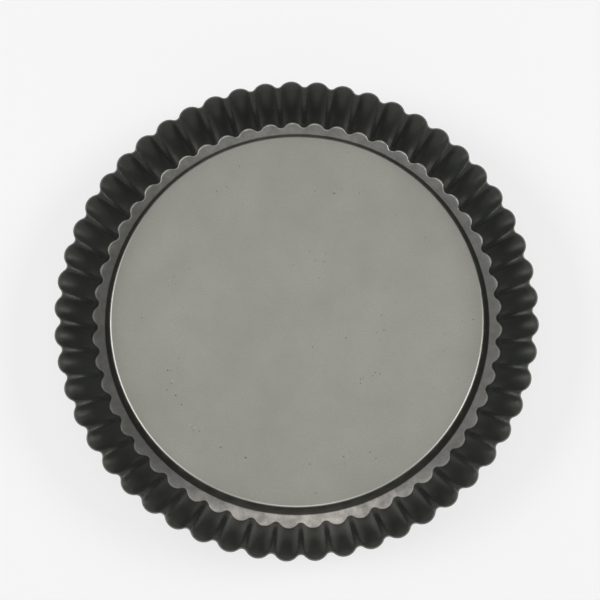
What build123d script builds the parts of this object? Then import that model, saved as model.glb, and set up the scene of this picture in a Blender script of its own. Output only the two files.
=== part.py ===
# Fluted quiche dish of pressed steel sheet with a lift-out base, at its real size in millimetres.
# +Z is up. The origin is the centre of the underside of the foot, on which the dish stands.
# One flute points along +X. The dish is two pieces: a fluted ring with a moat and a raised inner
# wall, and a flat base with a turned-down lip that lies on the ledge of that inner wall.
import os
from math import atan, cos, degrees, hypot, pi, radians, sin, tan

from build123d import *

# Driving sizes of the fluted wall. The diameter is over the tips of the flutes, outside the
# sheet, at the rim. From the top of the moat floor to the rim the wall climbs by its height and
# leans out by its reach on every side. A flute's share is the radius of its round back, outside,
# over the pitch of the flutes.
rim_diameter = 250.0
wall_reach = 11.15
wall_height = 28.5
flute_count = 53
flute_depth = 3.15
rim_flute_share = 0.48587
foot_flute_share = 0.45566
ring_sheet = 0.6
foot_bevel = 0.9

# Driving sizes of the moat, the raised inner wall and its ledge. The moat's width is from the
# tips of the flutes, level with the top of its floor, to the inner wall. The slope is in degrees
# from upright, and a bend is the inside radius of the folded sheet.
moat_width = 7.65
step_height = 8.5
step_slope = 34.5
ring_bend = 0.6
ledge_width = 6.0

# Driving sizes of the loose base. The clearance is square to the slope, between its lip and the
# raised inner wall.
base_sheet = 0.6
base_bend = 0.6
lip_depth = 2.0
lip_clearance = 0.25

# Diameters that follow from the rim, and the radii of a flute's back there
foot_diameter = rim_diameter - 2 * wall_reach
moat_inner_diameter = foot_diameter - 2 * moat_width
rim_flute_radius = rim_flute_share * pi * rim_diameter / flute_count
foot_flute_radius = foot_flute_share * pi * foot_diameter / flute_count

# Heights of the ring
floor_top = ring_sheet
rim_top = floor_top + wall_height
base_top = floor_top + step_height
ledge_top = base_top - base_sheet
ledge_bottom = ledge_top - ring_sheet

# The wall leans outwards, so a cut through it at one height is wider than the sheet.
wall_lean = atan(wall_reach / wall_height)
wall_cut = ring_sheet / cos(wall_lean)

# Radii of the raised inner wall, along its outer face
step_lean = radians(step_slope)
step_cut = ring_sheet / cos(step_lean)
lip_cut = base_sheet / cos(step_lean)
lip_gap = lip_clearance / cos(step_lean)


def step_radius(height):
    """Radius of the outer face of the raised inner wall at one height."""
    return moat_inner_diameter / 2 - (height - floor_top) * tan(step_lean)


def crest_radius(height):
    """Radius over the tips of the flutes, on the outside of the wall, at one height."""
    climb_share = (height - floor_top) / wall_height
    return foot_diameter / 2 + wall_reach * climb_share


def lobe_radius(height):
    """Radius of the round back of one flute, on the outside of the wall, at one height."""
    climb_share = (height - floor_top) / wall_height
    return foot_flute_radius + (rim_flute_radius - foot_flute_radius) * climb_share


def flute_outline(height, inset):
    """Draw one level of the wall: a large arc for each flute and a small one for each groove.

    inset moves the outline inwards everywhere by the same amount, so the outside and the
    inside of the sheet are parallel. Neighbouring arcs are tangent.
    """
    half_pitch = pi / flute_count
    crest = crest_radius(height) - inset
    root = crest - flute_depth
    lobe = lobe_radius(height) - inset
    lobe_centre = crest - lobe
    across = lobe_centre**2 + root**2 - 2 * lobe_centre * root * cos(half_pitch) - lobe**2
    groove = across / (2 * (lobe - root + lobe_centre * cos(half_pitch)))
    groove_centre = (root + groove) * cos(half_pitch), (root + groove) * sin(half_pitch)
    run = groove_centre[0] - lobe_centre
    reach = hypot(run, groove_centre[1])
    meet_x = lobe_centre + lobe * run / reach
    meet_y = lobe * groove_centre[1] / reach
    for index in range(flute_count):
        turn = degrees(2 * half_pitch * index)
        start = Vector(meet_x, -meet_y).rotate(Axis.Z, turn)
        crown = Vector(crest, 0).rotate(Axis.Z, turn)
        end = Vector(meet_x, meet_y).rotate(Axis.Z, turn)
        dip = Vector(root, 0).rotate(Axis.Z, turn + degrees(half_pitch))
        following = Vector(meet_x, -meet_y).rotate(Axis.Z, turn + degrees(2 * half_pitch))
        ThreePointArc(start, crown, end)
        ThreePointArc(end, dip, following)


# The fluted ring: wall, moat floor, raised inner wall and ledge are one pressing. Each level of
# the wall is a height and an inset, and the bend at the foot is one bevel that follows the flutes.
outer_levels = [
    (0, foot_bevel),
    (foot_bevel, 0),
    (rim_top, 0),
]
inner_levels = [
    (floor_top, wall_cut + foot_bevel / 2),
    (floor_top + foot_bevel / 2, wall_cut),
    (rim_top, wall_cut),
]
# The wall's part of the moat floor meets the inner wall's part at the middle of the floor.
join_radius = (moat_inner_diameter / 2 + foot_diameter / 2 - wall_cut - flute_depth) / 2
ledge_inner_radius = step_radius(ledge_top) - ledge_width

with BuildPart() as fluted_ring:
    for level, inset in outer_levels:
        with BuildSketch(Plane.XY.offset(level)):
            with BuildLine():
                flute_outline(level, inset)
            make_face()
    loft(ruled=True)
    for level, inset in inner_levels:
        with BuildSketch(Plane.XY.offset(level)):
            with BuildLine():
                flute_outline(level, inset)
            make_face()
    loft(ruled=True, mode=Mode.SUBTRACT)
    with BuildSketch(Plane.XY):
        Circle(join_radius)
    extrude(amount=floor_top, mode=Mode.SUBTRACT)
    with BuildSketch(Plane.XZ):
        with BuildLine():
            top_side = FilletPolyline(
                (join_radius, floor_top),
                (step_radius(floor_top), floor_top),
                (step_radius(ledge_top), ledge_top),
                (ledge_inner_radius, ledge_top),
                radius=[ring_bend, ring_bend + ring_sheet],
            )
            underside = FilletPolyline(
                (join_radius, 0),
                (step_radius(0) - step_cut, 0),
                (step_radius(ledge_bottom) - step_cut, ledge_bottom),
                (ledge_inner_radius, ledge_bottom),
                radius=[ring_bend + ring_sheet, ring_bend],
            )
            Line(top_side @ 0, underside @ 0)
            Line(top_side @ 1, underside @ 1)
        make_face()
    revolve(axis=Axis.Z)
fluted_ring.part.label = "fluted_ring"

# The loose base: a flat disc whose turned-down lip caps the shoulder of the raised inner wall.
lip_bottom = base_top - lip_depth
base_underside = base_top - base_sheet

with BuildPart() as loose_base:
    with BuildSketch(Plane.XZ):
        with BuildLine():
            face_side = FilletPolyline(
                (0, base_top),
                (step_radius(base_top) + lip_gap + lip_cut, base_top),
                (step_radius(lip_bottom) + lip_gap + lip_cut, lip_bottom),
                radius=base_bend + base_sheet,
            )
            back_side = FilletPolyline(
                (0, base_underside),
                (step_radius(base_underside) + lip_gap, base_underside),
                (step_radius(lip_bottom) + lip_gap, lip_bottom),
                radius=base_bend,
            )
            Line(face_side @ 0, back_side @ 0)
            Line(face_side @ 1, back_side @ 1)
        make_face()
    revolve(axis=Axis.Z)
loose_base.part.label = "loose_base"

os.makedirs("parts", exist_ok=True)
export_step(fluted_ring.part, "parts/fluted_ring.step")
export_step(loose_base.part, "parts/loose_base.step")
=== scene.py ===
# Fluted quiche dish: the pressed ring with its moat and ledge, and the loose base that lifts out.
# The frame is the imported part's own: metres, +Z up, the foot on z = 0 and a flute on +X.
from math import cos, pi, radians, sin, tan

import bmesh
import bpy
from bpy.props import FloatProperty, FloatVectorProperty, IntProperty, PointerProperty
from mathutils import Matrix, Vector, noise


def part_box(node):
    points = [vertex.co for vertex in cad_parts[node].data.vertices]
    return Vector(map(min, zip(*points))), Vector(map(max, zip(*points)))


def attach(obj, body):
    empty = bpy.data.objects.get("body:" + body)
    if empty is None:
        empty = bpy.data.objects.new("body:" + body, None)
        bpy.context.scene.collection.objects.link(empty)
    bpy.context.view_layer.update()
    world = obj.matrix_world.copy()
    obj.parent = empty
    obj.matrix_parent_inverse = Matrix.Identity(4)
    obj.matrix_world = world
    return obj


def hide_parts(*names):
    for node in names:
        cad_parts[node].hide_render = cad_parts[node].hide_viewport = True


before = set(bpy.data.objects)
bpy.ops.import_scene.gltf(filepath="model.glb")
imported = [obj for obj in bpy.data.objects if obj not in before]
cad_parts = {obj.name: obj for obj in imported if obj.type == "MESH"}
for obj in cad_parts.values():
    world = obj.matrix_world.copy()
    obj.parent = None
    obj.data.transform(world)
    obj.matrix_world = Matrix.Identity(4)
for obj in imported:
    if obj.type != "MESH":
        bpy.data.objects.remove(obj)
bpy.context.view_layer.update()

bl_info = {
    "name": "Fluted quiche dish",
    "version": (1, 0, 0),
    "blender": (4, 5, 0),
    "location": "View3D > Sidebar > Quiche Dish",
    "description": "Builds a fluted quiche dish with a loose base over its packed frame",
    "category": "Add Mesh",
}

MM = 0.001
RING_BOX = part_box("fluted_ring")
BASE_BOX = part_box("loose_base")

# Points this close are one point, and an edge that turns more than this is drawn sharp.
WELD = 0.002 * MM
SHARP = radians(50)

# An edge of the ring that turns more than this is a cut one, and cut edges are deburred this much.
CUT_TURN = radians(60)
DEBURR = 0.1 * MM

# Node types that come often, and the inputs of a Mix node that mixes colours
MATH = "ShaderNodeMath"
MIX_SHARE, MIX_FROM, MIX_TO = 0, 6, 7


def linear(hex_colour):
    """Turn an sRGB hex colour into the linear colour that a shader socket takes."""
    parts = [int(hex_colour[i : i + 2], 16) / 255 for i in (1, 3, 5)]
    return [c / 12.92 if c <= 0.04045 else ((c + 0.055) / 1.055) ** 2.4 for c in parts] + [1.0]


def add(tree, kind, feeds=(), **settings):
    """Add a node with its settings, and feed its inputs with numbers, sockets or nodes."""
    made = tree.nodes.new(kind)
    for name, value in settings.items():
        setattr(made, name, value)
    for key, value in feeds.items() if isinstance(feeds, dict) else enumerate(feeds):
        if isinstance(value, bpy.types.Node):
            value = value.outputs[0]
        if isinstance(value, bpy.types.NodeSocket):
            tree.links.new(value, made.inputs[key])
        elif value is not None:
            made.inputs[key].default_value = value
    return made


def rounded(corners, radii, steps):
    """Round the corners of an open line in the (radius, height) plane."""
    line = [Vector(corners[0])]
    for before, corner, after, bend in zip(corners, corners[1:], corners[2:], radii):
        corner = Vector(corner)
        back = (Vector(before) - corner).normalized()
        ahead = (Vector(after) - corner).normalized()
        half = back.angle(ahead) / 2
        centre = corner + (back + ahead).normalized() * bend / sin(half)
        start = (corner + back * bend / tan(half) - centre).normalized()
        end = (corner + ahead * bend / tan(half) - centre).normalized()
        for step in range(steps + 1):
            line.append(centre + start.slerp(end, step / steps) * bend)
    return line + [Vector(corners[-1])]


def place(name, mesh, body, node, material):
    """Put a finished mesh in the scene, on its CAD body and in its CAD node's place."""
    mesh.name = name
    mesh.materials.clear()
    mesh.materials.append(material)
    piece = bpy.data.objects.new(name, mesh)
    bpy.context.scene.collection.objects.link(piece)
    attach(piece, body)
    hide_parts(node)
    return piece


# Node tree of the ring


def flute_outline_group():
    """The wall's outline at one height: a large arc for each flute, a small one for each groove."""
    tree = bpy.data.node_groups.new("Flute outline", "GeometryNodeTree")
    for name in ("Angle", "Climb", "Half pitch", "Foot radius", "Reach", "Depth", "Foot back",
                 "Rim back", "Inset"):
        tree.interface.new_socket(name, in_out="INPUT", socket_type="NodeSocketFloat")
    tree.interface.new_socket("Radius", in_out="OUTPUT", socket_type="NodeSocketFloat")
    given = add(tree, "NodeGroupInput").outputs
    climb, inset, half = given["Climb"], given["Inset"], given["Half pitch"]

    far = add(tree, MATH, [given["Reach"], climb, given["Foot radius"]], operation="MULTIPLY_ADD")
    crest = add(tree, MATH, [far, inset], operation="SUBTRACT")
    root = add(tree, MATH, [crest, given["Depth"]], operation="SUBTRACT")
    swell = add(tree, MATH, [given["Rim back"], given["Foot back"]], operation="SUBTRACT")
    outside = add(tree, MATH, [swell, climb, given["Foot back"]], operation="MULTIPLY_ADD")
    lobe = add(tree, MATH, [outside, inset], operation="SUBTRACT")
    centre = add(tree, MATH, [crest, lobe], operation="SUBTRACT")
    lobe_square = add(tree, MATH, [lobe, lobe], operation="MULTIPLY")

    # The groove's arc is tangent to the flutes on both sides of it.
    half_cos = add(tree, MATH, [half], operation="COSINE")
    half_sin = add(tree, MATH, [half], operation="SINE")
    centre_far = add(tree, MATH, [centre, half_cos], operation="MULTIPLY")
    crossed = add(tree, MATH, [centre_far, root], operation="MULTIPLY")
    doubled = add(tree, MATH, [crossed, -2.0, 0.0], operation="MULTIPLY_ADD")
    squares = add(tree, MATH, [centre, centre, doubled], operation="MULTIPLY_ADD")
    squares = add(tree, MATH, [root, root, squares], operation="MULTIPLY_ADD")
    across = add(tree, MATH, [squares, lobe_square], operation="SUBTRACT")
    under = add(tree, MATH, [lobe, root], operation="SUBTRACT")
    under = add(tree, MATH, [under, centre_far], operation="ADD")
    under = add(tree, MATH, [under, 2.0], operation="MULTIPLY")
    groove = add(tree, MATH, [across, under], operation="DIVIDE")
    groove_far = add(tree, MATH, [root, groove], operation="ADD")
    groove_x = add(tree, MATH, [groove_far, half_cos], operation="MULTIPLY")
    groove_y = add(tree, MATH, [groove_far, half_sin], operation="MULTIPLY")
    run = add(tree, MATH, [groove_x, centre], operation="SUBTRACT")
    lean = add(tree, MATH, [groove_y, run], operation="ARCTAN2")
    meet_x = add(tree, MATH, [lobe, add(tree, MATH, [lean], operation="COSINE"), centre],
                 operation="MULTIPLY_ADD")
    meet_y = add(tree, MATH, [lobe, add(tree, MATH, [lean], operation="SINE")],
                 operation="MULTIPLY")
    meet = add(tree, MATH, [meet_y, meet_x], operation="ARCTAN2")

    turn = add(tree, MATH, [given["Angle"]], operation="ABSOLUTE")
    aside = add(tree, MATH, [centre, add(tree, MATH, [turn], operation="SINE")],
                operation="MULTIPLY")
    rest = add(tree, MATH, [aside, aside], operation="MULTIPLY")
    rest = add(tree, MATH, [lobe_square, rest], operation="SUBTRACT")
    rest = add(tree, MATH, [add(tree, MATH, [rest, 0.0], operation="MAXIMUM")], operation="SQRT")
    on_lobe = add(tree, MATH, [centre, add(tree, MATH, [turn], operation="COSINE"), rest],
                  operation="MULTIPLY_ADD")
    away = add(tree, MATH, [half, turn], operation="SUBTRACT")
    aside = add(tree, MATH, [groove_far, add(tree, MATH, [away], operation="SINE")],
                operation="MULTIPLY")
    rest = add(tree, MATH, [aside, aside], operation="MULTIPLY")
    square = add(tree, MATH, [groove, groove], operation="MULTIPLY")
    rest = add(tree, MATH, [square, rest], operation="SUBTRACT")
    rest = add(tree, MATH, [add(tree, MATH, [rest, 0.0], operation="MAXIMUM")], operation="SQRT")
    reach = add(tree, MATH, [groove_far, add(tree, MATH, [away], operation="COSINE")],
                operation="MULTIPLY")
    on_groove = add(tree, MATH, [reach, rest], operation="SUBTRACT")
    on_back = add(tree, MATH, [turn, meet], operation="LESS_THAN")
    radius = add(tree, "GeometryNodeSwitch", [on_back, on_groove, on_lobe], input_type="FLOAT")
    add(tree, "NodeGroupOutput", [radius])
    return tree


def ring_tree():
    """The ring's upper face, one flute wide and then repeated: wall, foot, moat floor, inner wall
    and ledge."""
    outline = flute_outline_group()
    tree = bpy.data.node_groups.new("Fluted ring", "GeometryNodeTree")
    for name, kind in (
        ("Flutes", "Int"), ("Columns", "Int"), ("Wall rows", "Int"), ("Foot rows", "Int"),
        ("Floor rows", "Int"), ("Bend steps", "Int"), ("Rim radius", "Float"),
        ("Wall reach", "Float"), ("Rim height", "Float"), ("Floor height", "Float"),
        ("Flute depth", "Float"), ("Rim back", "Float"), ("Foot back", "Float"),
        ("Wall cut", "Float"), ("Moat radius", "Float"), ("Ledge height", "Float"),
        ("Step run", "Float"), ("Ledge width", "Float"), ("Step bend", "Float"),
        ("Shoulder bend", "Float"), ("Ridge blend", "Float"), ("Flute blend", "Float"),
        ("Flute rise", "Float"), ("Coat", "Material"),
    ):
        tree.interface.new_socket(name, in_out="INPUT", socket_type="NodeSocket" + kind)
    tree.interface.new_socket("Ring", in_out="OUTPUT", socket_type="NodeSocketGeometry")
    given = add(tree, "NodeGroupInput").outputs
    floor, rim = given["Floor height"], given["Rim height"]
    half = add(tree, MATH, [pi, given["Flutes"]], operation="DIVIDE")
    foot_radius = add(tree, MATH, [given["Rim radius"], given["Wall reach"]], operation="SUBTRACT")
    wall_height = add(tree, MATH, [rim, floor], operation="SUBTRACT")
    columns = add(tree, MATH, [given["Columns"], 1.0], operation="ADD")

    # Every patch is a grid whose X is the angle across one flute and whose Y runs inwards.
    spot = add(tree, "ShaderNodeSeparateXYZ", [add(tree, "GeometryNodeInputPosition")])
    full = add(tree, MATH, [half, 2.0], operation="MULTIPLY")
    angle = add(tree, MATH, [spot.outputs[0], full], operation="MULTIPLY")
    inwards = add(tree, MATH, [spot.outputs[1], 0.5], operation="ADD")
    angle_cos = add(tree, MATH, [angle], operation="COSINE")
    angle_sin = add(tree, MATH, [angle], operation="SINE")

    # On a flute's middle this is 1, and on the ridge between two flutes 0.
    swing = add(tree, MATH, [add(tree, MATH, [angle, half], operation="DIVIDE"), pi],
                operation="MULTIPLY")
    hollow = add(tree, MATH, [add(tree, MATH, [swing], operation="COSINE"), 0.5, 0.5],
                 operation="MULTIPLY_ADD")
    widen = add(tree, MATH, [given["Flute blend"], given["Ridge blend"]], operation="SUBTRACT")
    blend = add(tree, MATH, [widen, hollow, given["Ridge blend"]], operation="MULTIPLY_ADD")
    rise = add(tree, MATH, [given["Flute rise"], hollow], operation="MULTIPLY")
    bed = add(tree, MATH, [floor, rise], operation="ADD")
    heel = add(tree, MATH, [bed, blend], operation="ADD")

    def outline_at(height):
        above = add(tree, MATH, [height, floor], operation="SUBTRACT")
        climb = add(tree, MATH, [above, wall_height], operation="DIVIDE")
        return add(tree, "GeometryNodeGroup",
                   [angle, climb, half, foot_radius, given["Wall reach"], given["Flute depth"],
                    given["Foot back"], given["Rim back"], given["Wall cut"]], node_tree=outline)

    def patch(rows, radius, height):
        grid = add(tree, "GeometryNodeMeshGrid", [1.0, 1.0, columns, rows])
        x = add(tree, MATH, [radius, angle_cos], operation="MULTIPLY")
        y = add(tree, MATH, [radius, angle_sin], operation="MULTIPLY")
        point = add(tree, "ShaderNodeCombineXYZ", [x, y, height])
        return add(tree, "GeometryNodeSetPosition", {"Geometry": grid, "Position": point})

    # Wall, from the rim down to where the foot's bend starts
    wall_drop = add(tree, MATH, [heel, rim], operation="SUBTRACT")
    wall_z = add(tree, MATH, [wall_drop, inwards, rim], operation="MULTIPLY_ADD")
    wall = patch(given["Wall rows"], outline_at(wall_z), wall_z)

    # Foot, a quadratic curve from the wall to the floor about the corner between them
    corner_r = outline_at(bed)
    heel_r = outline_at(heel)
    toe_r = add(tree, MATH, [corner_r, blend], operation="SUBTRACT")
    left = add(tree, MATH, [1.0, inwards], operation="SUBTRACT")
    share_heel = add(tree, MATH, [left, left], operation="MULTIPLY")
    share_corner = add(tree, MATH, [add(tree, MATH, [left, inwards], operation="MULTIPLY"), 2.0],
                       operation="MULTIPLY")
    share_toe = add(tree, MATH, [inwards, inwards], operation="MULTIPLY")
    foot_r = add(tree, MATH, [share_heel, heel_r], operation="MULTIPLY")
    foot_r = add(tree, MATH, [share_corner, corner_r, foot_r], operation="MULTIPLY_ADD")
    foot_r = add(tree, MATH, [share_toe, toe_r, foot_r], operation="MULTIPLY_ADD")
    foot_z = add(tree, MATH, [share_heel, blend, bed], operation="MULTIPLY_ADD")
    foot = patch(given["Foot rows"], foot_r, foot_z)

    # Moat floor, on which each flute runs out as a shallow tongue
    bend_start = add(tree, MATH, [given["Moat radius"], given["Step bend"]], operation="ADD")
    floor_run = add(tree, MATH, [bend_start, toe_r], operation="SUBTRACT")
    floor_r = add(tree, MATH, [floor_run, inwards, toe_r], operation="MULTIPLY_ADD")
    floor_z = add(tree, MATH, [rise, share_heel, floor], operation="MULTIPLY_ADD")
    moat = patch(given["Floor rows"], floor_r, floor_z)

    # Inner wall and ledge, along a line that is drawn once and bent at its two corners
    climb = add(tree, MATH, [given["Ledge height"], floor], operation="SUBTRACT")
    climb_run = add(tree, MATH, [climb, given["Step run"]], operation="MULTIPLY")
    shoulder_r = add(tree, MATH, [given["Moat radius"], climb_run], operation="SUBTRACT")
    hole_r = add(tree, MATH, [shoulder_r, given["Ledge width"]], operation="SUBTRACT")
    corners = [
        add(tree, "ShaderNodeCombineXYZ", [radius, 0.0, height])
        for radius, height in (
            (bend_start, floor), (given["Moat radius"], floor),
            (shoulder_r, given["Ledge height"]), (hole_r, given["Ledge height"]),
        )
    ]
    index = add(tree, "GeometryNodeInputIndex")
    choice = add(tree, "GeometryNodeIndexSwitch", data_type="VECTOR")
    for _ in corners[2:]:
        choice.index_switch_items.new()
    tree.links.new(index.outputs[0], choice.inputs[0])
    for slot, corner in enumerate(corners):
        tree.links.new(corner.outputs[0], choice.inputs[slot + 1])
    dots = add(tree, "GeometryNodeMeshLine", {"Count": len(corners)})
    line = add(tree, "GeometryNodeMeshToCurve", [dots])
    line = add(tree, "GeometryNodeSetPosition", {"Geometry": line, "Position": choice})
    late = add(tree, MATH, [index, 1.5], operation="GREATER_THAN")
    bend = add(tree, "GeometryNodeSwitch", [late, given["Step bend"], given["Shoulder bend"]],
               input_type="FLOAT")
    line = add(tree, "GeometryNodeFilletCurve",
               {"Curve": line, "Radius": bend, "Count": given["Bend steps"],
                "Limit Radius": True}, mode="POLY")
    size = add(tree, "GeometryNodeAttributeDomainSize", [line], component="CURVE")
    last = add(tree, MATH, [size.outputs["Point Count"], 1.0], operation="SUBTRACT")
    row = add(tree, MATH, [add(tree, MATH, [inwards, last], operation="MULTIPLY")],
              operation="ROUND")
    bent = add(tree, "GeometryNodeSampleIndex",
               {"Geometry": line, "Value": add(tree, "GeometryNodeInputPosition"), "Index": row},
               data_type="FLOAT_VECTOR", domain="POINT")
    bent = add(tree, "ShaderNodeSeparateXYZ", [bent])
    inner = patch(size.outputs["Point Count"], bent.outputs[0], bent.outputs[2])

    whole = add(tree, "GeometryNodeJoinGeometry")
    for piece in (inner, moat, foot, wall):
        tree.links.new(piece.outputs[0], whole.inputs[0])
    one = add(tree, "GeometryNodeMergeByDistance", {"Geometry": whole, "Distance": WELD})
    places = add(tree, "GeometryNodeMeshLine",
                 {"Count": given["Flutes"], "Offset": (0.0, 0.0, 0.0)})
    turn = add(tree, "ShaderNodeCombineXYZ",
               [0.0, 0.0, add(tree, MATH, [index, full], operation="MULTIPLY")])
    round_it = add(tree, "GeometryNodeInstanceOnPoints",
                   {"Points": places, "Instance": one, "Rotation": turn})
    real = add(tree, "GeometryNodeRealizeInstances", [round_it])
    real = add(tree, "GeometryNodeMergeByDistance", {"Geometry": real, "Distance": WELD})
    real = add(tree, "GeometryNodeSetShadeSmooth", {"Geometry": real})
    coated = add(tree, "GeometryNodeSetMaterial",
                 {"Geometry": real, "Material": given["Coat"]})
    add(tree, "NodeGroupOutput", [coated])
    return tree


# Finishes

# How far the crown of the base's lip lies inside the lip's lowest edge
CROWN_INSET = 2.0 * MM

# The wall's mean radius, and the share to which heights shrink so that its draw marks run long
WALL_RADIUS = 120 * MM
DRAW_SQUEEZE = 0.06

# Pits where the base's coat has chipped, and pale crumbs baked onto it: x, y and radius in
# millimetres, and strength
BASE_PITS = (
    (24.5, 67.0, 0.6, 0.9), (14.0, 69.0, 0.45, 0.6), (38.5, 66.5, 0.45, 0.6),
    (28.5, 69.0, 0.4, 0.5), (58.0, 52.5, 0.4, 0.5), (73.0, 39.0, 0.45, 0.6),
    (-26.5, 63.5, 0.4, 0.5), (-66.0, 24.5, 0.45, 0.6), (-65.0, 20.5, 0.45, 0.6),
    (-70.5, -26.5, 0.55, 0.8), (-69.0, -26.5, 0.45, 0.7), (-68.5, -33.5, 0.45, 0.7),
    (-71.0, -37.0, 0.45, 0.7), (-66.5, -40.0, 0.55, 0.8), (-63.5, -45.0, 0.5, 0.8),
    (-57.5, -59.0, 0.45, 0.6), (-54.5, -59.5, 0.5, 0.6), (-58.5, -57.0, 0.4, 0.5),
    (-43.5, -68.5, 0.55, 0.8), (-30.5, -74.5, 0.6, 0.9), (3.0, -79.5, 0.5, 0.7),
    (21.0, -76.5, 0.5, 0.8), (35.0, -75.0, 0.5, 0.6), (26.0, -14.0, 0.5, 0.8),
    (40.5, -33.5, 0.5, 0.7), (39.0, -35.0, 0.4, 0.6),
)
BASE_CRUMBS = (
    (-68.0, -32.0, 0.5, 0.4), (37.0, 67.0, 0.45, 0.35), (-59.0, -56.0, 0.45, 0.35),
    (-56.5, -57.5, 0.4, 0.3), (-69.5, -25.5, 0.4, 0.3), (-68.5, 22.5, 0.4, 0.3),
    (25.0, 68.0, 0.35, 0.3), (-31.0, -76.0, 0.35, 0.3),
)


def satin_coat(name):
    """Start a sprayed and baked non-stick coat: its tree, the place on the piece, the tone that
    its colour is multiplied by, and the clouds in it. The spray's grain is 0.7 mm, coarser than
    the real one, so that it shows, and the clouds are 26 mm wide."""
    material = bpy.data.materials.new(name)
    material.use_nodes = True
    tree = material.node_tree
    tree.nodes.clear()
    where = add(tree, "ShaderNodeTexCoord").outputs["Object"]
    grain = add(tree, "ShaderNodeTexNoise",
                {"Vector": where, "Scale": 1 / (0.7 * MM), "Detail": 2.0, "Roughness": 0.6})
    cloud = add(tree, "ShaderNodeTexNoise",
                {"Vector": where, "Scale": 1 / (26 * MM), "Detail": 4.0, "Roughness": 0.55})
    flecks = add(tree, "ShaderNodeMapRange", [grain, 0.3, 0.7, 0.86, 1.14])
    clouds = add(tree, "ShaderNodeMapRange", [cloud, 0.3, 0.7, 0.88, 1.12])
    tone = add(tree, MATH, [flecks, clouds], operation="MULTIPLY")
    return material, tree, where, tone, cloud


def dots(tree, spot, marks):
    """A mask of round dots, each at its x and y on the piece."""
    mask = 0.0
    for x, y, size, strength in marks:
        gap = add(tree, "ShaderNodeVectorMath", {0: spot, 1: (x * MM, y * MM, 0.0)},
                  operation="DISTANCE").outputs["Value"]
        dot = add(tree, "ShaderNodeMapRange", [gap, size * MM, 0.6 * size * MM, 0.0, strength])
        mask = add(tree, MATH, [mask, dot], operation="MAXIMUM")
    return mask


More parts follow.
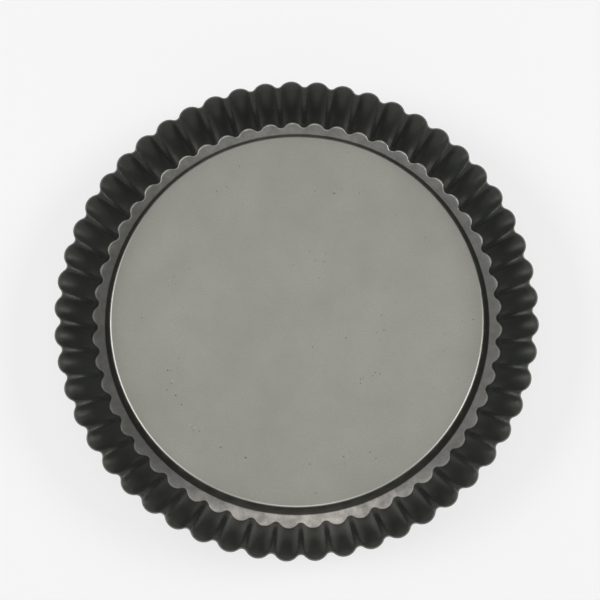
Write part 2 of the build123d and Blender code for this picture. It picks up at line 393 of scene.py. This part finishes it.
def ring_coat(sizes):
    """Satin PTFE non-stick coat sprayed on pressed steel sheet and baked. It gives the dark
    charcoal of the walls, their broad dull highlights and a faint orange peel. The moat's floor is
    painted lighter, a little all round and strongly at the front. This is partly rubbing by knives
    and scouring, and partly a painted reflection of the overhead light. A painted highlight runs
    along the start of the foot's bend."""
    material, tree, where, tone, cloud = satin_coat("satin_nonstick_coat_on_pressed_steel")
    spot = add(tree, "ShaderNodeSeparateXYZ", [where])
    flat_xy = add(tree, "ShaderNodeCombineXYZ", [spot.outputs[0], spot.outputs[1], 0.0])
    radius = add(tree, "ShaderNodeVectorMath", [flat_xy], operation="LENGTH").outputs["Value"]

    # The moat's floor: the upper face below the foot's bend, outside the raised inner wall
    low = add(tree, "ShaderNodeMapRange", [spot.outputs[2], 1.1 * MM, 0.72 * MM, 0.0, 1.0])
    upper = add(tree, "ShaderNodeMapRange", [spot.outputs[2], 0.2 * MM, 0.45 * MM, 0.0, 1.0])
    outer = add(tree, "ShaderNodeMapRange", [radius, 105 * MM, 106.5 * MM, 0.0, 1.0])
    low = add(tree, MATH, [add(tree, MATH, [low, upper], operation="MULTIPLY"), outer],
              operation="MULTIPLY")

    # It is painted lighter in 7 mm patches: strongly at the front, where it is scraped most and
    # where it mirrors the overhead light most, a little more at the right than at the left there,
    # and slightly on the far side. So the lightness is partly wear and partly a painted reflection.
    worn = add(tree, "ShaderNodeTexNoise",
               {"Vector": where, "Scale": 1 / (7 * MM), "Detail": 5.0, "Roughness": 0.6})
    near = add(tree, "ShaderNodeMapRange", [spot.outputs[1], -77 * MM, -112 * MM, 0.19, 0.98],
               interpolation_type="SMOOTHSTEP")
    front = add(tree, "ShaderNodeMapRange", [spot.outputs[1], -20 * MM, -60 * MM, 0.0, 0.1])
    right = add(tree, "ShaderNodeMapRange", [spot.outputs[0], -30 * MM, 60 * MM, 0.0, 1.0])
    near = add(tree, MATH, [front, right, near], operation="MULTIPLY_ADD")
    far = add(tree, "ShaderNodeMapRange", [spot.outputs[1], -20 * MM, 70 * MM, 0.25, 0.8],
              interpolation_type="SMOOTHSTEP")
    near = add(tree, MATH, [far, 0.08, near], operation="MULTIPLY_ADD")
    worn = add(tree, "ShaderNodeMapRange", [worn, 0.35, 0.65, 0.35, 1.0])
    rub_and_reflection = add(tree, MATH, [add(tree, MATH, [low, worn], operation="MULTIPLY"), near],
              operation="MULTIPLY")
    colour = add(tree, "ShaderNodeMix",
                 {MIX_SHARE: rub_and_reflection, MIX_FROM: list(sizes.ring_colour) + [1.0],
                  MIX_TO: list(sizes.floor_rub_and_sheen_colour) + [1.0]}, data_type="RGBA")
    colour = add(tree, "ShaderNodeVectorMath", {0: colour.outputs[2], "Scale": tone},
                 operation="SCALE")

    # A painted highlight: a hairline of bright steel colour where the foot's bend starts, standing
    # in for the bend's glint. It is broken up every few millimetres and clearest on the far side,
    # where the glint falls.
    rise = add(tree, "ShaderNodeMapRange", [spot.outputs[2], 0.66 * MM, 0.7 * MM, 0.0, 1.0])
    fall = add(tree, "ShaderNodeMapRange", [spot.outputs[2], 0.8 * MM, 1.0 * MM, 1.0, 0.0])
    breaks = add(tree, "ShaderNodeTexNoise",
                 {"Vector": where, "Scale": 1 / (2.2 * MM), "Detail": 2.0})
    breaks = add(tree, "ShaderNodeMapRange", [breaks, 0.35, 0.6, 0.45, 1.0])
    fall = add(tree, MATH, [fall, breaks], operation="MULTIPLY")
    painted_foot_glint = add(tree, MATH, [add(tree, MATH, [rise, fall], operation="MULTIPLY"), outer],
              operation="MULTIPLY")
    painted_foot_glint = add(tree, MATH, [painted_foot_glint, far], operation="MULTIPLY")
    colour = add(tree, "ShaderNodeMix",
                 {MIX_SHARE: painted_foot_glint, MIX_FROM: colour, MIX_TO: linear("#a8a69e")}, data_type="RGBA")

    # The moat's floor is duller than the walls, which are wiped smoother, and dullest at the left.
    rough = add(tree, "ShaderNodeMapRange", [cloud, 0.3, 0.7, 0.28, 0.33])
    left = add(tree, "ShaderNodeMapRange", [spot.outputs[0], -40 * MM, -105 * MM, 0.13, 0.34],
               interpolation_type="SMOOTHSTEP")
    rough = add(tree, MATH, [low, left, rough], operation="MULTIPLY_ADD")

    # The ridges between the flutes, where the cosine is lowest, are burnished by knives and hands.
    turn = add(tree, MATH, [spot.outputs[1], spot.outputs[0]], operation="ARCTAN2")
    wave = add(tree, MATH, [turn, float(sizes.flutes)], operation="MULTIPLY")
    ridge = add(tree, "ShaderNodeMapRange",
                [add(tree, MATH, [wave], operation="COSINE"), -0.6, -1.0, 0.0, 1.0])
    wall = add(tree, "ShaderNodeMapRange", [spot.outputs[2], 2 * MM, 5 * MM, 0.0, 1.0])
    wall = add(tree, MATH, [wall, outer], operation="MULTIPLY")
    ridge = add(tree, MATH, [ridge, wall], operation="MULTIPLY")
    rough = add(tree, MATH, [ridge, -0.06, rough], operation="MULTIPLY_ADD")

    # Orange peel of the sprayed coat, 1.3 mm across
    peel = add(tree, "ShaderNodeTexNoise",
               {"Vector": where, "Scale": 1 / (1.3 * MM), "Detail": 2.0, "Roughness": 0.5})

    # Draw marks: lines down the wall, where the sheet slid over the die. Real ones are a few
    # tenths of a millimetre apart. These are 1.2 mm apart, so that they show.
    arc = add(tree, MATH, [turn, WALL_RADIUS], operation="MULTIPLY")
    drawn = add(tree, MATH, [spot.outputs[2], DRAW_SQUEEZE], operation="MULTIPLY")
    drawn = add(tree, "ShaderNodeTexNoise",
                {"Vector": add(tree, "ShaderNodeCombineXYZ", [arc, drawn, 0.0]),
                 "Scale": 1 / (1.2 * MM), "Detail": 2.0, "Roughness": 0.5})
    drawn = add(tree, MATH, [drawn, wall], operation="MULTIPLY")
    peel = add(tree, MATH, [drawn, 2.0, peel], operation="MULTIPLY_ADD")
    bump = add(tree, "ShaderNodeBump", {"Strength": 0.6, "Distance": 0.02 * MM, "Height": peel})
    shader = add(tree, "ShaderNodeBsdfPrincipled",
                 {"Base Color": colour.outputs[2], "Metallic": painted_foot_glint, "Roughness": rough,
                  "IOR": 1.5, "Specular IOR Level": 0.92,
                  "Specular Tint": (1.0, 1.0, 0.95, 1.0), "Normal": bump})
    add(tree, "ShaderNodeOutputMaterial", [shader])
    return material


def base_coat(sizes, dark):
    """The same kind of satin coat on the base, thinner and lighter than the ring's. It is partly
    worn lighter by cutting and washing, and partly a painted reflection of the overhead light on
    the flat face. It gives a flat warm grey with faint clouds, hair scratches, pits and crumbs, and
    its lip keeps the ring's dark colour under a bright crown, which is partly rubbed steel and
    partly a painted highlight."""
    material, tree, where, tone, cloud = satin_coat("worn_satin_nonstick_coat_on_steel_sheet")

    # Small pits: a sparse scatter of dots, kept only where a broad noise is high, and then the
    # larger pits and crumbs, each at its own place
    cells = add(tree, "ShaderNodeTexVoronoi",
                {"Vector": where, "Scale": 1 / (4.2 * MM), "Randomness": 1.0})
    dot = add(tree, "ShaderNodeMapRange", [cells, 0.10, 0.045, 0.0, 1.0])
    patchy = add(tree, "ShaderNodeTexNoise",
                 {"Vector": where, "Scale": 1 / (30 * MM), "Detail": 2.0})
    kept = add(tree, "ShaderNodeMapRange", [patchy, 0.58, 0.66, 0.0, 1.0])
    pit = add(tree, MATH, [dot, kept], operation="MULTIPLY")

    flat_xy = add(tree, "ShaderNodeVectorMath", {0: where, 1: (1.0, 1.0, 0.0)},
                  operation="MULTIPLY")
    pit = add(tree, MATH, [pit, dots(tree, flat_xy, BASE_PITS)], operation="MAXIMUM")
    crumb = dots(tree, flat_xy, BASE_CRUMBS)

    # Hair scratches: a noise drawn out 40 times along one direction. They are 0.9 mm wide, much
    # coarser than real ones, so that they show.
    turned = add(tree, "ShaderNodeMapping",
                 {"Vector": where, "Rotation": (0.0, 0.0, 0.6), "Scale": (1.0, 0.025, 1.0)})
    hair = add(tree, "ShaderNodeTexNoise",
               {"Vector": turned, "Scale": 1 / (0.9 * MM), "Detail": 1.0})
    hair = add(tree, "ShaderNodeMapRange", [hair, 0.68, 0.76, 0.0, 1.0])

    # A little paler towards both sides
    spot = add(tree, "ShaderNodeSeparateXYZ", [where])
    aside = add(tree, MATH, [spot.outputs[0]], operation="ABSOLUTE")
    paler = add(tree, "ShaderNodeMapRange", [aside, 25 * MM, 85 * MM, 1.0, 1.04],
                interpolation_type="SMOOTHSTEP")
    tone = add(tree, MATH, [tone, paler], operation="MULTIPLY")
    # The base's colour is lighter than the ring's: partly wear, partly a painted reflection of the
    # overhead light.
    colour = add(tree, "ShaderNodeVectorMath", {0: list(sizes.base_wear_and_sheen_colour), "Scale": tone},
                 operation="SCALE")
    colour = add(tree, "ShaderNodeMix",
                 {MIX_SHARE: pit, MIX_FROM: colour, MIX_TO: linear("#1c1815")}, data_type="RGBA")
    colour = add(tree, "ShaderNodeMix",
                 {MIX_SHARE: crumb, MIX_FROM: colour.outputs[2], MIX_TO: linear("#b3a68c")},
                 data_type="RGBA")
    rough = add(tree, "ShaderNodeMapRange", [cloud, 0.3, 0.7, 0.29, 0.34])
    rough = add(tree, MATH, [hair, 0.06, rough], operation="MULTIPLY_ADD")
    rough = add(tree, MATH, [pit, 0.5, rough], operation="MULTIPLY_ADD")

    # Nothing cuts on the lip's slope, so the coat there is as dark as the ring's.
    radius = add(tree, "ShaderNodeVectorMath", [flat_xy], operation="LENGTH").outputs["Value"]
    crown = BASE_BOX[1][0] - CROWN_INSET
    unworn = add(tree, "ShaderNodeMapRange",
                 [radius, crown + 0.15 * MM, crown + 1.2 * MM, 0.0, 1.0])
    colour = add(tree, "ShaderNodeMix",
                 {MIX_SHARE: unworn, MIX_FROM: colour.outputs[2], MIX_TO: list(dark) + [1.0]},
                 data_type="RGBA")

    # A painted highlight: the crown of the lip is coloured and made metallic as bright steel where
    # its glint falls, most at both sides and less in front, and not on the far side. It is partly
    # rubbed bare steel.
    off = add(tree, MATH, [radius, crown], operation="SUBTRACT")
    off = add(tree, MATH, [off], operation="ABSOLUTE")
    edge = add(tree, "ShaderNodeMapRange", [off, 0.4 * MM, 0.15 * MM, 0.0, 1.0])
    slant = add(tree, MATH, [spot.outputs[0], 0.25, spot.outputs[1]], operation="MULTIPLY_ADD")
    near = add(tree, "ShaderNodeMapRange", [slant, 42 * MM, -20 * MM, 0.0, 1.0])
    inner = add(tree, "ShaderNodeMapRange", [aside, 10 * MM, 40 * MM, 0.55, 0.25])
    outer = add(tree, "ShaderNodeMapRange", [aside, 50 * MM, 85 * MM, 0.0, 0.7])
    share = add(tree, MATH, [inner, outer], operation="ADD")
    painted_crown_glint = add(tree, MATH, [add(tree, MATH, [edge, near], operation="MULTIPLY"), share],
                operation="MULTIPLY")
    colour = add(tree, "ShaderNodeMix",
                 {MIX_SHARE: painted_crown_glint, MIX_FROM: colour.outputs[2], MIX_TO: linear("#cbc8c0")},
                 data_type="RGBA")

    # Orange peel, 1.6 mm across, and the pits' depth
    peel = add(tree, "ShaderNodeTexNoise",
               {"Vector": where, "Scale": 1 / (1.6 * MM), "Detail": 2.0, "Roughness": 0.5})
    height = add(tree, MATH, [pit, -2.0, peel], operation="MULTIPLY_ADD")
    bump = add(tree, "ShaderNodeBump", {"Strength": 0.2, "Distance": 0.015 * MM, "Height": height})
    shader = add(tree, "ShaderNodeBsdfPrincipled",
                 {"Base Color": colour.outputs[2], "Roughness": rough, "IOR": 1.6,
                  "Specular IOR Level": 0.7, "Specular Tint": (1.0, 0.99, 0.9, 1.0),
                  "Metallic": painted_crown_glint, "Normal": bump})
    add(tree, "ShaderNodeOutputMaterial", [shader])
    return material


def seen_or_mirrored(tree):
    """1 for a ray that sees a surface or mirrors it, and 0 for one that only gathers light."""
    path = add(tree, "ShaderNodeLightPath").outputs
    seen = add(tree, MATH, [path["Is Camera Ray"], path["Is Transmission Ray"]],
               operation="MAXIMUM")
    return add(tree, MATH, [seen, path["Is Glossy Ray"]], operation="MAXIMUM")


def paper_floor():
    """Matt white backdrop paper, lit from behind. It gives the pale ground with a soft shadow.
    It glows a little less near the dish, where the lamps light it too, and runs out into the
    white of the room."""
    material = bpy.data.materials.new("matt_white_backdrop_paper")
    material.use_nodes = True
    tree = material.node_tree
    tree.nodes.clear()
    where = add(tree, "ShaderNodeTexCoord").outputs["Object"]
    away = add(tree, "ShaderNodeVectorMath", [where], operation="LENGTH").outputs["Value"]
    fade = add(tree, "ShaderNodeMapRange", [away, 0.3, 1.5, 0.0, 1.0],
               interpolation_type="SMOOTHSTEP")
    tone = add(tree, "ShaderNodeMix",
               {MIX_SHARE: fade, MIX_FROM: linear("#949494"), MIX_TO: linear("#000000")},
               data_type="RGBA")
    paper = add(tree, "ShaderNodeBsdfDiffuse", {"Color": tone.outputs[2]})
    glow = add(tree, "ShaderNodeMapRange", [fade, 0.0, 1.0, 0.672, 1.0])
    glow = add(tree, MATH, [seen_or_mirrored(tree), glow], operation="MULTIPLY")
    lit = add(tree, "ShaderNodeEmission", {"Color": linear(PAPER_WHITE), "Strength": glow})
    add(tree, "ShaderNodeOutputMaterial", [add(tree, "ShaderNodeAddShader", [paper, lit])])
    return material


# Sizes and colours that a user may change


class QuicheRingSizes(bpy.types.PropertyGroup):
    """Sizes and coat of the fluted ring"""

    flutes: IntProperty(name="Flutes", description="Flutes round the wall", default=53, min=12)
    columns: IntProperty(name="Columns", description="Mesh columns across one flute", default=20)
    rim_radius: FloatProperty(
        name="Rim Radius", description="Radius over the tips of the flutes at the rim",
        default=RING_BOX[1][0], unit="LENGTH", precision=4)
    wall_reach: FloatProperty(
        name="Wall Reach", description="How far the wall leans out from foot to rim",
        default=11.15 * MM, unit="LENGTH", precision=5)
    rim_height: FloatProperty(
        name="Rim Height", description="Height of the cut edge above the table",
        default=RING_BOX[1][2], unit="LENGTH", precision=5)
    sheet: FloatProperty(
        name="Sheet", description="Thickness of the steel sheet with its coat",
        default=0.6 * MM, unit="LENGTH", precision=5)
    flute_depth: FloatProperty(
        name="Flute Depth", description="How far a groove lies inside the flutes' tips",
        default=3.15 * MM, unit="LENGTH", precision=5)
    rim_back: FloatProperty(
        name="Rim Back", description="Radius of a flute's round back at the rim, outside",
        default=7.2 * MM, unit="LENGTH", precision=5)
    foot_back: FloatProperty(
        name="Foot Back", description="Radius of a flute's round back at the foot, outside",
        default=6.15 * MM, unit="LENGTH", precision=5)
    moat_width: FloatProperty(
        name="Moat Width", description="From the flutes' tips at the foot to the inner wall",
        default=7.65 * MM, unit="LENGTH", precision=5)
    step_height: FloatProperty(
        name="Step Height", description="How far the base's face stands above the moat floor",
        default=8.5 * MM, unit="LENGTH", precision=5)
    step_slope: FloatProperty(
        name="Step Slope", description="Slope of the inner wall, from upright",
        default=radians(34.5), subtype="ANGLE")
    ledge_width: FloatProperty(
        name="Ledge Width", description="Width of the ledge that carries the base",
        default=6 * MM, unit="LENGTH", precision=5)
    bend: FloatProperty(
        name="Bend", description="Inside radius of the folded sheet",
        default=0.6 * MM, unit="LENGTH", precision=5)
    ridge_blend: FloatProperty(
        name="Ridge Blend", description="Size of the foot's bend at a ridge",
        default=0.8 * MM, unit="LENGTH", precision=5)
    flute_blend: FloatProperty(
        name="Flute Blend", description="Size of the foot's bend in the middle of a flute",
        default=1.2 * MM, unit="LENGTH", precision=5)
    flute_rise: FloatProperty(
        name="Flute Rise", description="How far the moat floor rises into a flute",
        default=0.06 * MM, unit="LENGTH", precision=5)
    ring_colour: FloatVectorProperty(
        name="Coat", description="Colour of the ring's coat", subtype="COLOR", size=3,
        min=0, max=1, default=linear("#292b28")[:3])
    # The rubbed floor's light colour is partly wear and partly a painted reflection of the overhead
    # light.
    floor_rub_and_sheen_colour: FloatVectorProperty(
        name="Rubbed Floor", description="Colour of the coat where the moat floor is rubbed",
        subtype="COLOR", size=3, min=0, max=1, default=linear("#b8b3ac")[:3])


class QuicheBaseSizes(bpy.types.PropertyGroup):
    """Sizes and coat of the loose base"""

    segments: IntProperty(name="Segments", description="Mesh columns round the base", default=360)
    sheet: FloatProperty(
        name="Sheet", description="Thickness of the steel sheet with its coat",
        default=0.6 * MM, unit="LENGTH", precision=5)
    bend: FloatProperty(
        name="Bend", description="Inside radius of the turned-down lip",
        default=0.6 * MM, unit="LENGTH", precision=5)
    lip_depth: FloatProperty(
        name="Lip Depth", description="How far the lip reaches below the base's face",
        default=2 * MM, unit="LENGTH", precision=5)
    clearance: FloatProperty(
        name="Clearance", description="Gap between the lip and the ring, square to the slope",
        default=0.25 * MM, unit="LENGTH", precision=5)
    waver: FloatProperty(
        name="Waver", description="How far the pressed disc strays from a true plane",
        default=0.04 * MM, unit="LENGTH", precision=5)
    # The base's light coat colour is partly wear and partly a painted reflection of the overhead
    # light.
    base_wear_and_sheen_colour: FloatVectorProperty(
        name="Coat", description="Colour of the base's coat", subtype="COLOR", size=3,
        min=0, max=1, default=linear("#6d6d67")[:3])


class QuicheStageSizes(bpy.types.PropertyGroup):
    """Light and camera"""

    overhead: FloatProperty(
        name="Overhead", description="Power of the softbox overhead", default=4.1, unit="POWER")
    beside: FloatProperty(
        name="Beside", description="Power of each low softbox beside the dish", default=13.0,
        unit="POWER")
    behind: FloatProperty(
        name="Behind", description="Power of the low softbox behind the dish", default=0.8,
        unit="POWER")
    front: FloatProperty(
        name="Front", description="Power of the low softbox in front of the dish", default=4.0,
        unit="POWER")
    surround: FloatProperty(
        name="Surround", description="Strength of the pale room round the dish", default=0.13)
    lens: FloatProperty(
        name="Lens", description="Focal length on a 36 mm wide sensor", default=45.29 * MM,
        unit="CAMERA")


# Pieces

# The base's mesh: the radius of its plain flat middle, the circles in it, and the length of the
# waves by which it strays from a plane
FLAT_RADIUS = 96 * MM
FLAT_RINGS = 24
WAVER_LENGTH = 45 * MM

# The photograph's right is a little off +X, because a flute points along +X here. The camera
# stands this far to the right, to the front and up from the middle of the rim.
PICTURE_TURN = radians(-2.948)
CAMERA_STAND = Vector((6.0, -58.2, 385.1)) * MM
CAMERA_TILT = Matrix.Rotation(radians(-9.29), 4, "X") @ Matrix.Rotation(radians(-0.57), 4, "Y")
SENSOR_WIDTH = 36.0

# The floor is a disc just under the foot, and the paper and the room are of one white.
FLOOR_RADIUS = 9.0
FLOOR_CORNERS = 64
FLOOR_GAP = 0.05 * MM
PAPER_WHITE = "#f6f6f6"


class QUICHE_OT_fluted_ring(bpy.types.Operator):
    """Press the fluted ring with its moat, inner wall and ledge"""

    bl_idname = "quiche.fluted_ring"
    bl_label = "Fluted Ring"

    def execute(self, context):
        sizes = context.scene.quiche_ring
        coat = ring_coat(sizes)
        floor = sizes.sheet
        climb = sizes.rim_height - floor
        lean = Vector((climb, sizes.wall_reach)).normalized()
        values = {
            "Flutes": sizes.flutes, "Columns": sizes.columns, "Wall rows": 7, "Foot rows": 7,
            "Floor rows": 6, "Bend steps": 5, "Rim radius": sizes.rim_radius,
            "Wall reach": sizes.wall_reach, "Rim height": sizes.rim_height,
            "Floor height": floor, "Flute depth": sizes.flute_depth,
            "Rim back": sizes.rim_back, "Foot back": sizes.foot_back,
            "Wall cut": sizes.sheet / lean.x,
            "Moat radius": sizes.rim_radius - sizes.wall_reach - sizes.moat_width,
            "Ledge height": floor + sizes.step_height - context.scene.quiche_base.sheet,
            "Step run": tan(sizes.step_slope), "Ledge width": sizes.ledge_width,
            "Step bend": sizes.bend, "Shoulder bend": sizes.bend + sizes.sheet,
            "Ridge blend": sizes.ridge_blend, "Flute blend": sizes.flute_blend,
            "Flute rise": sizes.flute_rise, "Coat": coat,
        }
        tree = ring_tree()
        blank = bpy.data.objects.new("ring_blank", bpy.data.meshes.new("ring_blank"))
        context.scene.collection.objects.link(blank)
        press = blank.modifiers.new("Press", "NODES")
        press.node_group = tree
        for item in tree.interface.items_tree:
            if item.in_out == "INPUT":
                press[item.identifier] = values[item.name]
        gauge = blank.modifiers.new("Gauge", "SOLIDIFY")
        gauge.thickness = sizes.sheet
        gauge.offset = -1.0
        gauge.use_even_offset = True
        context.view_layer.update()
        pressed = blank.evaluated_get(context.evaluated_depsgraph_get())
        mesh = bpy.data.meshes.new_from_object(pressed)
        bpy.data.objects.remove(blank)
        if len(mesh.polygons) < sizes.flutes * sizes.columns:
            raise RuntimeError("the ring's node tree made no mesh")

        # The rim is cut level and lightly deburred, and so is the hole in the ledge.
        shape = bmesh.new()
        shape.from_mesh(mesh)
        for vert in shape.verts:
            short = sizes.rim_height - vert.co.z
            if short < sizes.sheet / 2:
                out = vert.co.xy.normalized() * short * sizes.wall_reach / climb
                vert.co += Vector((out.x, out.y, short))
        cut = [edge for edge in shape.edges if edge.calc_face_angle(0.0) > CUT_TURN]
        bmesh.ops.bevel(shape, geom=cut, offset=DEBURR, offset_type="OFFSET", segments=2,
                        profile=0.5, affect="EDGES")
        for vert in shape.verts:
            vert.co.z = min(vert.co.z, sizes.rim_height)
        shape.to_mesh(mesh)
        shape.free()
        mesh.shade_smooth()
        mesh.set_sharp_from_angle(angle=SHARP)
        place("ring_pressing", mesh, "ring_body", "fluted_ring", coat)
        return {"FINISHED"}


class QUICHE_OT_loose_base(bpy.types.Operator):
    """Turn the loose base with its turned-down lip"""

    bl_idname = "quiche.loose_base"
    bl_label = "Loose Base"

    def execute(self, context):
        ring, sizes = context.scene.quiche_ring, context.scene.quiche_base
        top = BASE_BOX[1][2]
        below = top - sizes.sheet
        lip = top - sizes.lip_depth
        foot = ring.rim_radius - ring.wall_reach - ring.moat_width
        slope = cos(ring.step_slope)

        def lip_radius(height, gap):
            return foot - (height - ring.sheet) * tan(ring.step_slope) + gap / slope

        outside = sizes.clearance + sizes.sheet
        face = rounded(
            [(0.0, top), (lip_radius(top, outside), top), (lip_radius(lip, outside), lip),
             (lip_radius(lip, sizes.clearance), lip)],
            [sizes.bend + sizes.sheet, DEBURR], steps=8)
        back = rounded(
            [(lip_radius(lip, sizes.clearance), lip),
             (lip_radius(below, sizes.clearance), below), (0.0, below)],
            [sizes.bend], steps=6)
        rings = [(FLAT_RADIUS * step / FLAT_RINGS, top) for step in range(1, FLAT_RINGS + 1)]
        rings += [tuple(point) for point in face[1:]] + [tuple(point) for point in back[1:-1]]
        rings += [(FLAT_RADIUS * step / FLAT_RINGS, below) for step in range(FLAT_RINGS, 0, -1)]

        shape = bmesh.new()
        loops = []
        for radius, height in rings:
            loop = []
            for column in range(sizes.segments):
                turn = 2 * pi * column / sizes.segments
                x, y = radius * cos(turn), radius * sin(turn)
                calm = max(0.0, 1 - (radius / FLAT_RADIUS) ** 4)
                stray = noise.noise(Vector((x, y, 0.0)) / WAVER_LENGTH) * sizes.waver * calm
                loop.append(shape.verts.new((x, y, height + stray)))
            loops.append(loop)
        poles = [shape.verts.new((0.0, 0.0, height)) for height in (top, below)]
        for column in range(sizes.segments):
            after = (column + 1) % sizes.segments
            shape.faces.new((poles[0], loops[0][column], loops[0][after]))
            shape.faces.new((poles[1], loops[-1][after], loops[-1][column]))
            for one, two in zip(loops, loops[1:]):
                shape.faces.new((one[column], two[column], two[after], one[after]))
        bmesh.ops.recalc_face_normals(shape, faces=shape.faces)
        mesh = bpy.data.meshes.new("base_disc")
        shape.to_mesh(mesh)
        shape.free()
        mesh.shade_smooth()
        mesh.set_sharp_from_angle(angle=SHARP)
        place("base_disc", mesh, "base_body", "loose_base",
              base_coat(sizes, ring.ring_colour))
        return {"FINISHED"}


class QUICHE_OT_stage(bpy.types.Operator):
    """Set up the pale floor, the soft light and the camera"""

    bl_idname = "quiche.stage"
    bl_label = "Stage"

    def execute(self, context):
        sizes = context.scene.quiche_stage
        scene = context.scene
        turn = Matrix.Rotation(PICTURE_TURN, 4, "Z")
        rim = Vector((0.0, 0.0, scene.quiche_ring.rim_height))

        mesh = bpy.data.meshes.new("floor")
        edge = [2 * pi * corner / FLOOR_CORNERS for corner in range(FLOOR_CORNERS)]
        mesh.from_pydata(
            [(FLOOR_RADIUS * cos(a), FLOOR_RADIUS * sin(a), -FLOOR_GAP) for a in edge], [],
            [tuple(range(FLOOR_CORNERS))])
        mesh.materials.append(paper_floor())
        floor = bpy.data.objects.new("floor", mesh)
        scene.collection.objects.link(floor)

        # Name, azimuth anticlockwise from the picture's right and angle from overhead in degrees,
        # distance, width and height in metres, and power
        softboxes = (
            ("overhead", 90, 6, 1.2, 1.1, 1.1, sizes.overhead),
            ("right", 11, 54, 1.6, 0.9, 0.6, sizes.beside),
            ("left", 177, 54, 1.6, 0.9, 0.6, sizes.beside),
            ("behind", 90, 58, 1.6, 1.9, 1.6, sizes.behind),
            ("front", 270, 52, 1.6, 2.0, 1.6, sizes.front),
        )
        for name, azimuth, zenith, distance, width, height, power in softboxes:
            lamp = bpy.data.lights.new(name, "AREA")
            lamp.shape = "ELLIPSE"
            lamp.size = width
            lamp.size_y = height
            lamp.energy = power
            box = bpy.data.objects.new(name, lamp)
            scene.collection.objects.link(box)
            out = Vector((sin(radians(zenith)) * cos(radians(azimuth)),
                          sin(radians(zenith)) * sin(radians(azimuth)), cos(radians(zenith))))
            box.matrix_world = (turn @ Matrix.Translation(out * distance)
                                @ out.to_track_quat("Z", "Y").to_matrix().to_4x4())

        # The room is dim for the light that it gives, and white where it is seen or mirrored.
        world = bpy.data.worlds.new("pale_room")
        world.use_nodes = True
        tree = world.node_tree
        tree.nodes.clear()
        strength = add(tree, "ShaderNodeMapRange",
                       [seen_or_mirrored(tree), 0.0, 1.0, sizes.surround, 1.0])
        glow = add(tree, "ShaderNodeBackground",
                   {"Color": linear(PAPER_WHITE), "Strength": strength})
        add(tree, "ShaderNodeOutputWorld", [glow])
        scene.world = world

        view = bpy.data.cameras.new("camera")
        view.sensor_width = SENSOR_WIDTH
        view.lens = sizes.lens / MM
        view.clip_start = 0.01
        camera = bpy.data.objects.new("camera", view)
        scene.collection.objects.link(camera)
        stand = Matrix.Translation(rim + CAMERA_STAND)
        camera.matrix_world = turn @ stand @ CAMERA_TILT.transposed()
        scene.camera = camera
        scene.view_settings.view_transform = "Standard"
        return {"FINISHED"}


class QUICHE_PT_panel(bpy.types.Panel):
    """Sizes, colours and pieces of the quiche dish"""

    bl_idname = "QUICHE_PT_panel"
    bl_label = "Quiche Dish"
    bl_space_type = "VIEW_3D"
    bl_region_type = "UI"
    bl_category = "Quiche Dish"

    def draw(self, context):
        for group, operator in (("quiche_ring", "quiche.fluted_ring"),
                                ("quiche_base", "quiche.loose_base"),
                                ("quiche_stage", "quiche.stage")):
            box = self.layout.box()
            sizes = getattr(context.scene, group)
            for name in sizes.__annotations__:
                box.prop(sizes, name)
            box.operator(operator)


GROUPS = {"quiche_ring": QuicheRingSizes, "quiche_base": QuicheBaseSizes,
          "quiche_stage": QuicheStageSizes}
CLASSES = (*GROUPS.values(), QUICHE_OT_fluted_ring, QUICHE_OT_loose_base, QUICHE_OT_stage,
           QUICHE_PT_panel)


def register():
    for kind in CLASSES:
        bpy.utils.register_class(kind)
    for name, group in GROUPS.items():
        setattr(bpy.types.Scene, name, PointerProperty(type=group))


def unregister():
    for name in GROUPS:
        delattr(bpy.types.Scene, name)
    for kind in reversed(CLASSES):
        bpy.utils.unregister_class(kind)


def main():
    register()
    bpy.ops.quiche.fluted_ring()
    bpy.ops.quiche.loose_base()
    bpy.ops.quiche.stage()


if __name__ == "__main__":
    main()
